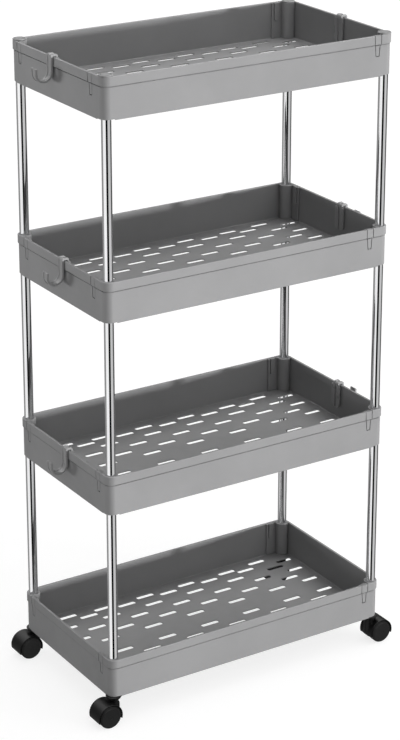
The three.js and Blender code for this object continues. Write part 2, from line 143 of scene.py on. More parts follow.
WHEEL_AXIS = 14.7 * math.cos(math.pi / 16)
CASTER_TRAIL = 11
AXLE_RADIUS = 2.5
AXLE_HALF = 11
PIN_RADIUS = 1.8
PIN_DEPTH = 8.5
PIN_CLEARANCE = 0.3
SPIGOT_RADIUS = 3
SPIGOT_DEPTH = 3.4
HOOD_RADIUS = 16.6
HOOD_BORE = 15.3
HOOD_HALF_WIDTH = 12.4
HOOD_WEB_HALF = 3.2
HOOD_HEM_DROP = 4.5
NECK_RADIUS = 5.9
COLLAR_TOP = BOTTOM_RIM - CORNER_FOOT_DEPTH - GAP
COLLAR_FOOT = COLLAR_TOP - 4
COLLAR_RADIUS = 9.9
COLLAR_WAIST = 8.7
NECK_FLARE = 1.2
WHEEL_FACE = 12.9
WHEEL_INNER_FACE = 3.6
WHEEL_BORE = 2.8
WHEEL_BORE_END = 11.3

CORNERS = {
    "front_left": (-1, -1),
    "front_right": (1, -1),
    "back_left": (-1, 1),
    "back_right": (1, 1),
}

# The wall that holds each corner's key, and the key's distance from the tube's axis
USUAL_KEYS = {
    "front_left": ("end", NEAR_KEY),
    "front_right": ("side", NEAR_KEY),
    "back_left": ("end", NEAR_KEY),
    "back_right": ("side", NEAR_KEY),
}
UPPER_KEYS = {
    "front_left": ("end", FAR_KEY),
    "front_right": ("side", FAR_KEY),
    "back_left": ("end", FAR_KEY),
    "back_right": ("end", NEAR_KEY),
}
KEYS = {
    "bottom": USUAL_KEYS,
    "lower": USUAL_KEYS,
    "upper": UPPER_KEYS,
    "top": {**USUAL_KEYS, "front_left": ("end", FAR_KEY)},
}
TIERS = ("bottom", "middle", "top")
HOOK_Y = {"lower": (-9.5, -13), "upper": (-9.5, -13), "top": (7.5, -4)}

# ---------------------------------------------------------------- smoothness of the drawn pieces

ARC_STEPS = 8
SLOT_STEPS = 4
ROUND_STEPS = 48
SHARP_ANGLE = 32
ON_AXIS = 1e-6
CLEAR = 2
FILLET = 1
LIP = 0.8
SLOT_EDGE = 0.35
BAND_EDGE = 0.3
GROOVE_EDGE = 0.2
FOOT_EDGE = 0.4
FLOOR_EDGE = 0.6
TUBE_EDGE = 0.25
CAP_EDGE = 0.6
CAP_GROOVE = (5.6, 5.8, 6.4, 6.6)
HOOK_EDGE = 0.35
HOOD_EDGE = 0.7
ROUND_EDGE = 0.5
AXLE_EDGE = 0.3
SLEEVE_BEVEL = 0.3
HOOK_BEVEL = 0.3
HOOD_BEVEL = 0.25

# ---------------------------------------------------------------- camera

LENS = 110.4
CAMERA_SHIFT = -0.2
CAMERA_AZIMUTH = 32.24
CAMERA_ELEVATION = 18.06
CAMERA_DISTANCE = 2.791
CAMERA_TARGET_HEIGHT = 0.447
CAMERA_SLIDE = (-0.0035, 0.1226)


# ================================================================ outlines

def arc(cx, cy, radius, start, end, steps=ARC_STEPS):
    """Points along a circle from one angle to another, both in degrees."""
    points = []
    for i in range(steps + 1):
        angle = math.radians(start + (end - start) * i / steps)
        points.append((cx + radius * math.cos(angle), cy + radius * math.sin(angle)))
    return points


def rounded_rect(length, width, radius, steps=ARC_STEPS):
    a = length / 2 - radius
    b = width / 2 - radius
    points = []
    for cx, cy, start in ((a, b, 0), (-a, b, 90), (-a, -b, 180), (a, -b, 270)):
        points += arc(cx, cy, radius, start, start + 90, steps)
    return points


def tray_outline(inset):
    """The tray's plan, a given distance in from the outside of its rim band.

    The groove under the band runs shallower round the corners, where the tubes' sockets are close.
    """
    in_groove = inset == BAND_PROUD + GROOVE_DEPTH
    radius = GROOVE_CORNER_RADIUS if in_groove else RIM_RADIUS - inset
    return rounded_rect(TRAY_LENGTH - 2 * inset, TRAY_WIDTH - 2 * inset, radius)


# ================================================================ mesh building

def ring(bm, points, z):
    return [bm.verts.new((x, y, z)) for x, y in points]


def bridge(bm, one, other):
    for i in range(len(one)):
        j = (i + 1) % len(one)
        bm.faces.new((one[i], one[j], other[j], other[i]))


def prism(bm, outline, low, high, matrix=None):
    """A closed upright extrusion of an outline."""
    foot = ring(bm, outline, low)
    top = ring(bm, outline, high)
    bridge(bm, foot, top)
    bm.faces.new(list(reversed(foot)))
    bm.faces.new(top)
    if matrix:
        bmesh.ops.transform(bm, matrix=matrix, verts=foot + top)


def lathe(bm, profile, steps=ROUND_STEPS, matrix=None):
    """A turned solid from [radius, z] pairs; its ends lie on the axis or meet each other."""
    rings = []
    for radius, z in profile:
        if radius < ON_AXIS:
            rings.append([bm.verts.new((0, 0, z))])
        else:
            turn = [2 * math.pi * i / steps for i in range(steps)]
            rings.append(ring(bm, [(radius * math.cos(t), radius * math.sin(t)) for t in turn], z))
    closed = len(rings[0]) > 1
    for k in range(len(rings) - (0 if closed else 1)):
        one = rings[k]
        other = rings[(k + 1) % len(rings)]
        if len(one) == 1 or len(other) == 1:
            pole, rim = (one[0], other) if len(one) == 1 else (other[0], one)
            for i in range(len(rim)):
                bm.faces.new((pole, rim[i], rim[(i + 1) % len(rim)]))
        else:
            bridge(bm, one, other)
    if matrix:
        bmesh.ops.transform(bm, matrix=matrix, verts=[v for loop in rings for v in loop])


def to_mesh(bm, name):
    """Finishes a drawing in millimetres as a smooth-shaded mesh in metres."""
    bmesh.ops.recalc_face_normals(bm, faces=bm.faces)
    bm.transform(Matrix.Scale(MM, 4))
    mesh = bpy.data.meshes.new(name)
    bm.to_mesh(mesh)
    bm.free()
    return mesh


def shade(mesh):
    mesh.shade_smooth()
    mesh.set_sharp_from_angle(angle=math.radians(SHARP_ANGLE))
    return mesh


def boolean(mesh, other, operation):
    """The two closed meshes put together or taken apart, as a new mesh."""
    objects = [bpy.data.objects.new("solid", mesh), bpy.data.objects.new("tool", other)]
    for obj in objects:
        bpy.context.scene.collection.objects.link(obj)
    modifier = objects[0].modifiers.new("boolean", "BOOLEAN")
    modifier.operation = operation
    modifier.solver = "MANIFOLD"
    modifier.object = objects[1]
    graph = bpy.context.evaluated_depsgraph_get()
    result = bpy.data.meshes.new_from_object(objects[0].evaluated_get(graph))
    for obj in objects:
        bpy.data.objects.remove(obj)
    return result


def join(mesh, other):
    """Adds another mesh's shells to a mesh."""
    bm = bmesh.new()
    bm.from_mesh(mesh)
    bm.from_mesh(other)
    joined = bpy.data.meshes.new(mesh.name)
    bm.to_mesh(joined)
    bm.free()
    return joined


def add_piece(name, mesh, body, node, material, bevel=0.0, matrix=None):
    """Puts a finished mesh in place of one CAD node, riding on that node's body."""
    own = mesh.copy()
    if matrix:
        own.transform(matrix)
        if matrix.determinant() < 0:
            own.flip_normals()
    own.materials.clear()
    own.materials.append(material)
    piece = bpy.data.objects.new(name, own)
    bpy.context.scene.collection.objects.link(piece)
    if bevel:
        edges = piece.modifiers.new("edges", "BEVEL")
        edges.width = bevel * MM
        edges.segments = 2
        edges.limit_method = "ANGLE"
        edges.angle_limit = math.radians(SHARP_ANGLE)
    weighted = piece.modifiers.new("weighted_normals", "WEIGHTED_NORMAL")
    weighted.keep_sharp = True
    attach(piece, body)
    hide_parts(node)
    return piece


def moved(x, y, z):
    return Matrix.Translation((x * MM, y * MM, z * MM))


def corner_frame(corner, wall):
    """Turns a corner drawing, whose +y points out through the wall with the key, into its corner."""
    sx, sy = CORNERS[corner]
    out = Vector((0, sy, 0)) if wall == "side" else Vector((sx, 0, 0))
    along = Vector((sx, 0, 0)) if wall == "side" else Vector((0, sy, 0))
    matrix = Matrix.Identity(4)
    matrix.col[0].xyz = along
    matrix.col[1].xyz = out
    matrix.col[3].xyz = (sx * POLE_X, sy * POLE_Y, 0)
    return matrix


# ================================================================ trays

def quarter_slots():
    """Centre and length of each slot in one quarter of the floor."""
    slots = []
    for row in (1, 3):
        slots += [(column * COLUMN_PITCH, row * ROW_PITCH, SLOT_LENGTH) for column in (0, 1, 2)]
        slots.append((END_COLUMN_X, row * ROW_PITCH, END_SLOT_LENGTH))
    for row in (2, 4):
        slots += [(column * COLUMN_PITCH, row * ROW_PITCH, SLOT_LENGTH) for column in (0.5, 1.5, 2.5)]
    # The two rows next to the long wall bend near the tray's end to follow its corner
    slots += [(column * COLUMN_PITCH, WALL_ROW_Y, SLOT_LENGTH) for column in (0, 1)]
    slots += [(*WALL_ROW_BEND, SLOT_LENGTH), (*WALL_ROW_END, END_SLOT_LENGTH)]
    slots += [(column * COLUMN_PITCH, EDGE_ROW_Y, SLOT_LENGTH) for column in (0.5, 1.5)]
    slots.append((*EDGE_ROW_END, SLOT_LENGTH))
    return slots


def all_slots():
    for x, y, length in quarter_slots():
        for sx in ((1,) if x == 0 else (-1, 1)):
            for sy in (-1, 1):
                yield sx * x, sy * y, length


def wall_profile():
    """Section through a wall as (inset, height), from the floor's inner edge over the rim and under."""
    start = INSIDE + FILLET
    points = arc(start, -FLOOR_DEPTH + FILLET, FILLET, 270, 180, 6)
    points += arc(INSIDE - LIP, -LIP, LIP, 0, 90, 4)
    points += arc(LIP, -LIP, LIP, 90, 180, 4)
    points += [(0, -BAND_HEIGHT + BAND_EDGE), (BAND_EDGE, -BAND_HEIGHT)]
    groove_foot = -BAND_HEIGHT - GROOVE_HEIGHT
    points += [(BAND_PROUD + GROOVE_DEPTH, -BAND_HEIGHT), (BAND_PROUD + GROOVE_DEPTH, groove_foot)]
    points += [(BAND_PROUD + GROOVE_EDGE, groove_foot), (BAND_PROUD, groove_foot - GROOVE_EDGE)]
    points += [(BAND_PROUD, -TRAY_HEIGHT + FOOT_EDGE), (BAND_PROUD + FOOT_EDGE, -TRAY_HEIGHT)]
    points += [(INSIDE - FOOT_EDGE, -TRAY_HEIGHT), (INSIDE, -TRAY_HEIGHT + FOOT_EDGE)]
    points += [(INSIDE, FLOOR_FOOT - FLOOR_EDGE), (INSIDE + FLOOR_EDGE, FLOOR_FOOT), (start, FLOOR_FOOT)]
    return points


def tray_shell():
    """Walls and slotted floor as one closed skin."""
    bm = bmesh.new()
    rings = [ring(bm, tray_outline(inset), z) for inset, z in wall_profile()]
    for one, other in zip(rings, rings[1:]):
        bridge(bm, one, other)
    top_loops = [rings[0]]
    foot_loops = [rings[-1]]
    for x, y, length in all_slots():
        levels = []
        for grow, z in (
            (SLOT_EDGE, -FLOOR_DEPTH),
            (0, -FLOOR_DEPTH - SLOT_EDGE),
            (0, FLOOR_FOOT + SLOT_EDGE),
            (SLOT_EDGE, FLOOR_FOOT),
        ):
            outline = rounded_rect(length + 2 * grow, SLOT_WIDTH + 2 * grow, SLOT_ROUND + grow, SLOT_STEPS)
            levels.append(ring(bm, [(x + px, y + py) for px, py in outline], z))
        for one, other in zip(levels, levels[1:]):
            bridge(bm, one, other)
        top_loops.append(levels[0])
        foot_loops.append(levels[-1])
    for loops, up in ((top_loops, 1), (foot_loops, -1)):
        edges = []
        for loop in loops:
            edges += [bm.edges.get((loop[i], loop[i - 1])) for i in range(len(loop))]
        bmesh.ops.triangle_fill(bm, edges=edges, use_beauty=True, normal=(0, 0, up))
    return to_mesh(bm, "tray_shell")


def key_outline(distance, grow):
    """The T-shaped key seen from outside its wall: (place along the wall, height)."""
    tab = KEY_TAB_WIDTH / 2 + grow
    upper = KEY_TONGUE_WIDTH / 2 + grow
    lower = KEY_TIP_WIDTH / 2 + grow
    top = KEY_SLOT_TOP if grow else KEY_TOP
    foot = -KEY_DEPTH - grow
    neck = -BAND_HEIGHT - grow
    throat = neck if grow else -BAND_HEIGHT - GROOVE_HEIGHT
    halves = [(tab, top), (tab, neck), (upper, throat), (lower, foot)]
    return [(-distance + x, z) for x, z in halves] + [(-distance - x, z) for x, z in reversed(halves)]


def upright(bm, outline, near, far, matrix=None):
    """Extrudes an outline drawn as (x, height) between two depths along y."""
    turn = Matrix.Rotation(math.radians(90), 4, "X")
    prism(bm, outline, -far, -near, matrix @ turn if matrix else turn)


def corner_cutters(keys):
    """Everything that is taken out of a tray's shell at its four corners."""
    bm = bmesh.new()
    for corner, (wall, distance) in keys.items():
        matrix = corner_frame(corner, wall)
        lathe(bm, [(0, CLEAR), (SOCKET_RADIUS, CLEAR), (SOCKET_RADIUS, -WEB_TOP_DEPTH),
                   (0, -WEB_TOP_DEPTH)], matrix=matrix)
        below = -TRAY_HEIGHT - CLEAR
        lathe(bm, [(0, -WEB_FOOT_DEPTH), (SOCKET_RADIUS, -WEB_FOOT_DEPTH),
                   (SOCKET_RADIUS, -CORNER_FOOT_DEPTH), (CORNER_LIFT_RADIUS, -CORNER_FOOT_DEPTH),
                   (CORNER_LIFT_RADIUS, below), (0, below)], matrix=matrix)
        inner = POLE_INSET - INSIDE - KEY_SLOT_DEPTH
        upright(bm, key_outline(distance, KEY_GROOVE), inner, POLE_INSET + CLEAR, matrix)
    return to_mesh(bm, "corner_cutters")


def skin_limit(angle, most):
    """How far a corner's inner parts may reach from the tube's axis and stay inside the wall's skin."""
    limit = POLE_INSET - BAND_PROUD - CORNER_SKIN
    cos, sin = math.cos(angle), math.sin(angle)
    reach = most
    if cos > 0:
        reach = min(reach, limit / cos)
    if sin > 0:
        reach = min(reach, limit / sin)
    if cos > 0 and sin > 0:
        offset = RIM_RADIUS - POLE_INSET
        radius = RIM_RADIUS - BAND_PROUD - CORNER_SKIN
        along = -offset * (cos + sin)
        reach = min(reach, along + math.sqrt(along * along + radius * radius - 2 * offset * offset))
    return reach


def filling_outline(most):
    """A circle round the tube's axis, cut back where it would come through the tray's skin."""
    points = []
    for i in range(ROUND_STEPS):
        angle = 2 * math.pi * i / ROUND_STEPS
        reach = skin_limit(angle, most)
        points.append((reach * math.cos(angle), reach * math.sin(angle)))
    return points


def corner_fillings(keys):
    """The foot ring under the floor and the web between the tubes, at each corner."""
    bm = bmesh.new()
    circle = filling_outline(SOCKET_RADIUS)
    foot = filling_outline(BOSS_RADIUS)
    web = filling_outline(SOCKET_RADIUS + FILLING_OVERLAP)
    for corner in keys:
        matrix = corner_frame(corner, "side")
        levels = [ring(bm, foot, -CORNER_FOOT_DEPTH), ring(bm, foot, -FLOOR_DEPTH - GAP),
                  ring(bm, circle, -FLOOR_DEPTH - GAP), ring(bm, circle, -CORNER_FOOT_DEPTH)]
        for k, level in enumerate(levels):
            bridge(bm, level, levels[(k + 1) % len(levels)])
        verts = [v for level in levels for v in level]
        bmesh.ops.transform(bm, matrix=matrix, verts=verts)
        prism(bm, web, -WEB_FOOT_DEPTH, -WEB_TOP_DEPTH, matrix)
    return to_mesh(bm, "corner_fillings")


def sleeve_outline(distance):
    """Plan of a corner sleeve: a C round the tube's inner side, and a strip along the key's wall."""
    face = POLE_INSET - INSIDE - GAP
    strip_face = face - STRIP_THICKNESS
    strip_end = -distance - STRIP_REACH

    def angle_at(value, radius, use):
        return math.degrees(use(value / radius))

    inner_start = -angle_at(face, SOCKET_RADIUS, math.acos)
    inner_end = -180 - angle_at(face, SOCKET_RADIUS, math.asin)
    outer_start = 180 - angle_at(strip_face, BOSS_RADIUS, math.asin)
    outer_end = 360 - angle_at(face, BOSS_RADIUS, math.acos)
    points = arc(0, 0, SOCKET_RADIUS, inner_start, inner_end, 24)
    points += [(strip_end, face), (strip_end, strip_face)]
    points += arc(0, 0, BOSS_RADIUS, outer_start, outer_end, 24)
    return points


def sleeve_mesh(distance):
    """A corner sleeve: its wall, the key that fills the slot in the tray's wall, and the inner tab."""
    face = POLE_INSET - INSIDE - GAP
    bm = bmesh.new()
    prism(bm, sleeve_outline(distance), -FLOOR_DEPTH + GAP, SLEEVE_TOP)
    sleeve = to_mesh(bm, f"sleeve_{distance}")
    bm = bmesh.new()
    slot = tab_outline(distance, TAB_HALF_WIDTH + TAB_GROOVE)
    upright(bm, slot, face - TAB_FACE - KEY_SLOT_TOP, face - KEY_SLOT_TOP)
    sleeve = boolean(sleeve, to_mesh(bm, "tab_slot"), "DIFFERENCE")
    bm = bmesh.new()
    upright(bm, tab_outline(distance, TAB_HALF_WIDTH), face - TAB_FACE, face - KEY_ROOT)
    key = key_outline(distance, 0)
    upright(bm, key[:2] + key[-2:], face - KEY_ROOT, POLE_INSET - KEY_RECESS)
    upright(bm, key[2:-2], face - KEY_ROOT, POLE_INSET - BAND_PROUD - KEY_RECESS)
    return join(sleeve, to_mesh(bm, "key"))


def tab_outline(distance, half_width):
    """The tab on the sleeve's inner side, as (place along the wall, height), with a round foot."""
    foot = arc(0, -TAB_DEPTH + half_width, half_width, 0, -180, 8)
    points = [(half_width, SLEEVE_TOP)] + foot + [(-half_width, SLEEVE_TOP)]
    return [(x - distance, z) for x, z in points]


def add_trays(plastic):
    """Four trays from one shell, each with its own corners and sleeves."""
    shell = tray_shell()
    sleeves = {distance: sleeve_mesh(distance) for distance in (NEAR_KEY, FAR_KEY)}
    for level, (tray, keys) in enumerate(KEYS.items()):
        place = moved(0, 0, BOTTOM_RIM + level * TRAY_PITCH)
        body = boolean(shell, corner_cutters(keys), "DIFFERENCE")
        mesh = shade(join(body, corner_fillings(keys)))
        add_piece(f"{tray}_tray_moulding", mesh, "frame", f"{tray}_tray", plastic,
                  matrix=place)
        for corner, (wall, distance) in keys.items():
            frame_matrix = corner_frame(corner, wall)
            frame_matrix.col[3].xyz = frame_matrix.col[3].xyz * MM
            add_piece(f"{tray}_sleeve_{corner}", shade(sleeves[distance]), "frame",
                      f"{tray}_tray_sleeve_{corner}", plastic,
                      bevel=SLEEVE_BEVEL, matrix=place @ frame_matrix)


# ================================================================ tubes and caps

def add_tubes(chrome):
    length = TRAY_PITCH - WEB_FOOT_DEPTH + WEB_TOP_DEPTH - 2 * GAP
    bm = bmesh.new()
    lathe(bm, [(TUBE_BORE_RADIUS, 0), (TUBE_RADIUS - TUBE_EDGE, 0), (TUBE_RADIUS, TUBE_EDGE),
               (TUBE_RADIUS, length - TUBE_EDGE), (TUBE_RADIUS - TUBE_EDGE, length),
               (TUBE_BORE_RADIUS, length)], steps=64)
    mesh = shade(to_mesh(bm, "tube"))
    for level, tier in enumerate(TIERS):
        foot = BOTTOM_RIM + level * TRAY_PITCH - WEB_TOP_DEPTH + GAP
        for corner, (sx, sy) in CORNERS.items():
            add_piece(f"{tier}_chrome_tube_{corner}", mesh, "frame", f"{tier}_tube_{corner}", chrome,
                      matrix=moved(sx * POLE_X, sy * POLE_Y, foot))


def add_caps(plastic):
    top = GAP + CAP_THICKNESS
    edge = arc(CAP_RADIUS - CAP_EDGE, top - CAP_EDGE, CAP_EDGE, 90, 0, 4)
    groove = [(radius, z) for radius, z in zip(CAP_GROOVE, (top, top - 0.5, top - 0.5, top))]
    profile = [(0, top)] + groove + edge
    profile += [(CAP_RADIUS, GAP), (TUBE_RADIUS, GAP), (TUBE_RADIUS, -CAP_PLUG_DEPTH + 1),
                (TUBE_RADIUS - 1, -CAP_PLUG_DEPTH), (0, -CAP_PLUG_DEPTH)]
    bm = bmesh.new()
    lathe(bm, profile)
    mesh = shade(to_mesh(bm, "cap"))
    rim = BOTTOM_RIM + 3 * TRAY_PITCH
    for corner, (sx, sy) in CORNERS.items():
        add_piece(f"top_cap_{corner}", mesh, "frame", f"socket_cap_{corner}", plastic,
                  matrix=moved(sx * POLE_X, sy * POLE_Y, rim))


# ================================================================ hooks

def hook_path():
    """The strip's middle line, from inside the tray over the rim and round the bend to the tip."""
    half = HOOK_THICKNESS / 2
    top = HOOK_TOP - half
    inner = HOOK_LEG_FACE - half
    outer = HOOK_CLEARANCE + half
    turn = HOOK_TURN
    points = [(inner, -3)]
    points += arc(inner + turn, top - turn, turn, 180, 90, 5)
    points += arc(outer - turn, top - turn, turn, 90, 0, 5)
    points += [(outer, -6), (outer, -12)]
    points += arc(HOOK_BEND_X, -HOOK_BEND_DEPTH, HOOK_BEND_X - outer, 180, 360, 24)
    points.append((2 * HOOK_BEND_X - outer, -HOOK_TIP_DEPTH))
    return points


def hook_section():
    """Section of the strip as (across the thickness, across the width), with two raised edges."""
    thick = HOOK_THICKNESS / 2
    wide = HOOK_WIDTH / 2
    depth, start = HOOK_HOLLOW
    side = [(thick - HOOK_EDGE, -wide), (thick, -wide + HOOK_EDGE)]
    side += [(thick, -wide + HOOK_RIB_WIDTH), (thick - depth, -wide + start)]
    side += [(n, -y) for n, y in reversed(side)]
    return side + [(-n, -y) for n, y in side]


def sweep_strip(bm, path, section, tip_steps=4):
    """Sweeps a section along a path in the XZ plane and rounds off its far end."""
    frames = []
    for i, point in enumerate(path):
        before = Vector(path[max(i - 1, 0)])
        after = Vector(path[min(i + 1, len(path) - 1)])
        frames.append((Vector(point), (after - before).normalized(), 1.0))
    end, heading, _ = frames[-1]
    radius = HOOK_THICKNESS / 2
    for k in range(1, tip_steps + 1):
        angle = math.radians(80 * k / tip_steps)
        frames.append((end + heading * radius * math.sin(angle), heading, math.cos(angle)))
    loops = []
    for point, heading, scale in frames:
        normal = Vector((-heading.y, heading.x))
        loop = []
        for n, y in section:
            across = point + normal * n * scale
            loop.append(bm.verts.new((across.x, y, across.y)))
        loops.append(loop)
    for one, other in zip(loops, loops[1:]):
        bridge(bm, one, other)
    bm.faces.new(loops[0])
    bm.faces.new(loops[-1])


def leg_outline():
    """Outline of the inner leg's plate, which the ribs overhang, seen from inside the tray."""
    half = HOOK_LEG_WIDTH / 2 - HOOK_LEG_UNDERCUT
    turn = HOOK_LEG_ROUND - HOOK_LEG_UNDERCUT
    foot = -HOOK_LEG_DEPTH + HOOK_LEG_ROUND
    points = [(half, 0)] + arc(half - turn, foot, turn, 0, -90, 6)
    return points + arc(turn - half, foot, turn, -90, -180, 6) + [(-half, 0)]


def leg_rib_outline(side):
    """One of the two flat ribs that run down the leg's edges and bend in round its foot."""
    outer = HOOK_LEG_WIDTH / 2
    inner = outer - HOOK_LEG_RIB
    turn = HOOK_LEG_ROUND
    points = [(inner, HOOK_LEG_RIB_TOP), (outer, HOOK_LEG_RIB_TOP)]
    points += arc(outer - turn, -HOOK_LEG_DEPTH + turn, turn, 0, -90, 6)
    return [(side * x, z) for x, z in points + [(inner, -HOOK_LEG_DEPTH)]]


def hook_mesh():
    """A hook that hangs outward along +x from a rim whose outer face is at x = 0."""
    quarter = Matrix.Rotation(math.radians(-90), 4, "Z")
    bm = bmesh.new()
    plate = HOOK_LEG_FACE - HOOK_LEG_PLATE
    rib_face = HOOK_LEG_FACE - HOOK_THICKNESS - HOOK_LEG_RIB_PROUD
    upright(bm, leg_outline(), HOOK_LEG_FACE, plate, quarter)
    for side in (-1, 1):
        upright(bm, leg_rib_outline(side), plate + 0.2, rib_face, quarter)
    sweep_strip(bm, hook_path(), hook_section())
    return to_mesh(bm, "hook")


def add_hooks(plastic):
    mesh = shade(hook_mesh())
    for tray, (left_y, right_y) in HOOK_Y.items():
        rim = BOTTOM_RIM + list(KEYS).index(tray) * TRAY_PITCH
        for side, y, turn in (("left", left_y, 180), ("right", right_y, 0)):
            x = TRAY_LENGTH / 2 * (1 if side == "right" else -1)
            matrix = moved(x, y, rim) @ Matrix.Rotation(math.radians(turn), 4, "Z")
            node = f"{tray}_tray_hook_{side}"
            add_piece(f"{tray}_rim_hook_{side}", mesh, node, node, plastic,
                      bevel=HOOK_BEVEL, matrix=matrix)


# ================================================================ casters

def along_axle():
    """Turns a lathe drawing so that its axis is the wheels' axle."""
    return (Matrix.Translation((-CASTER_TRAIL, 0, WHEEL_AXIS))
            @ Matrix.Rotation(math.radians(-90), 4, "X"))


def stem_mesh():
    """Stem in the tray's corner, the collar under the tray, and the steel pin in the hood."""
    top = BOTTOM_RIM - WEB_FOOT_DEPTH - GAP
    pin_top = COLLAR_FOOT - SPIGOT_DEPTH
    rim = COLLAR_RADIUS
    waist = COLLAR_WAIST
    profile = [(0, top), (TUBE_RADIUS - ROUND_EDGE, top), (TUBE_RADIUS, top - ROUND_EDGE)]
    profile += [(TUBE_RADIUS, COLLAR_TOP), (rim - 0.4, COLLAR_TOP), (rim, COLLAR_TOP - 0.4),
                (rim, COLLAR_TOP - 1.3), (rim - 0.4, COLLAR_TOP - 1.7), (waist, COLLAR_TOP - 1.9),
                (waist, COLLAR_FOOT + ROUND_EDGE), (waist - ROUND_EDGE, COLLAR_FOOT),
                (SPIGOT_RADIUS, COLLAR_FOOT)]
    profile += [(SPIGOT_RADIUS, pin_top), (PIN_RADIUS, pin_top), (PIN_RADIUS, pin_top - PIN_DEPTH),
                (0, pin_top - PIN_DEPTH)]
    bm = bmesh.new()
    lathe(bm, profile)
    return shade(to_mesh(bm, "caster_stem"))


def hood_mesh():
    """Hood over both wheels, with the web between them, the neck and the axle's two ends."""
    neck_top = COLLAR_FOOT - GAP
    edge = HOOD_EDGE
    half = HOOD_HALF_WIDTH
    steps = 96
    bm = bmesh.new()
    barrel = arc(HOOD_RADIUS - edge, half - edge, edge, 90, 0, 4)
    lathe(bm, [(0, half)] + barrel + [(r, -y) for r, y in reversed(barrel)] + [(0, -half)],
          steps, along_axle())
    barrel_mesh = to_mesh(bm, "barrel")
    bm = bmesh.new()
    flare = NECK_RADIUS + NECK_FLARE
    lathe(bm, [(0, neck_top), (NECK_RADIUS - ROUND_EDGE, neck_top), (NECK_RADIUS, neck_top - ROUND_EDGE),
               (NECK_RADIUS, WHEEL_AXIS + 14.2), (flare, WHEEL_AXIS + 12), (flare, WHEEL_AXIS),
               (0, WHEEL_AXIS)])
    hood = boolean(barrel_mesh, to_mesh(bm, "neck"), "UNION")
    bm = bmesh.new()
    mouth = HOOD_BORE + ROUND_EDGE
    cavity = [(0, HOOD_WEB_HALF), (HOOD_BORE, HOOD_WEB_HALF), (HOOD_BORE, half - ROUND_EDGE),
              (mouth, half), (mouth, half + CLEAR), (0, half + CLEAR)]
    for side in (-1, 1):
        lathe(bm, [(radius, side * y) for radius, y in cavity], steps, along_axle())
    hood = boolean(hood, to_mesh(bm, "cavities"), "DIFFERENCE")
    bm = bmesh.new()
    wide = 20
    hem = [(-CASTER_TRAIL - wide, -wide), (wide, -wide), (wide, wide), (-CASTER_TRAIL - wide, wide)]
    prism(bm, hem, -wide, WHEEL_AXIS - HOOD_HEM_DROP)
    hood = boolean(hood, to_mesh(bm, "below_hem"), "DIFFERENCE")
    bm = bmesh.new()
    tip = neck_top - SPIGOT_DEPTH
    spigot = SPIGOT_RADIUS + PIN_CLEARANCE
    pin = PIN_RADIUS + PIN_CLEARANCE
    lathe(bm, [(0, neck_top + 1), (spigot, neck_top + 1), (spigot, tip), (pin, tip),
               (pin, tip - PIN_DEPTH), (0, tip - PIN_DEPTH)])
    hood = boolean(hood, to_mesh(bm, "pin_hole"), "DIFFERENCE")
    bm = bmesh.new()
    half_axle = [(0, AXLE_HALF), (AXLE_RADIUS - AXLE_EDGE, AXLE_HALF)]
    half_axle.append((AXLE_RADIUS, AXLE_HALF - AXLE_EDGE))
    lathe(bm, half_axle + [(r, -y) for r, y in reversed(half_axle)], 32, along_axle())
    return shade(boolean(hood, to_mesh(bm, "axle"), "UNION"))


def wheel_mesh():
    """A wheel with its outer face up, drawn on the Z axis."""
    radius = WHEEL_AXIS
    face = WHEEL_FACE
    profile = [(0, face - 0.15), (2.2, face - 0.15), (2.5, face - 0.35), (2.8, face - 0.15)]
    profile += [(radius - 3.1, face), (radius - 2.7, face - 0.05), (radius - 2.4, face - 0.4)]
    profile += [(radius - 1.6, face - 0.6)]
    profile += arc(radius - 1.2, face - 1.9, 1.2, 90, 0, 5)
    profile += [(radius, 5.0)] + arc(radius - 0.8, 4.4, 0.8, 0, -90, 4)
    profile += [(WHEEL_BORE, WHEEL_INNER_FACE), (WHEEL_BORE, WHEEL_BORE_END), (0, WHEEL_BORE_END)]
    bm = bmesh.new()
    lathe(bm, profile, 96, along_axle())
    return shade(to_mesh(bm, "caster_wheel"))


def add_casters(black, tread):
    stem = stem_mesh()
    hood = hood_mesh()
    wheel = wheel_mesh()
    about_swivel = Matrix.Rotation(math.pi, 4, "Z")
    other_side = (Matrix.Translation((-2 * CASTER_TRAIL * MM, 0, 0)) @ about_swivel)
    for corner, (sx, sy) in CORNERS.items():
        turned = corner == "front_right"
        place = moved(sx * POLE_X, sy * POLE_Y, 0)
        swivelled = place @ about_swivel if turned else place
        caster = f"caster_{corner}"
        add_piece(f"{caster}_collar_and_pin", stem, "frame", f"{caster}_stem", black,
                  matrix=place)
        add_piece(f"{caster}_cover", hood, caster, f"{caster}_hood", black,
                  bevel=HOOD_BEVEL, matrix=swivelled)
        for side in ("front", "back"):
            flipped = (side == "front") != turned
            matrix = swivelled @ other_side if flipped else swivelled
            node = f"{caster}_wheel_{side}"
            add_piece(f"{caster}_disc_{side}", wheel, node, node, tread, matrix=matrix)


# ================================================================ materials

NOISE_RANGE = (0.3, 0.7)
CHROME_TONES = ((0.74, 0.745, 0.755), (0.83, 0.83, 0.84))


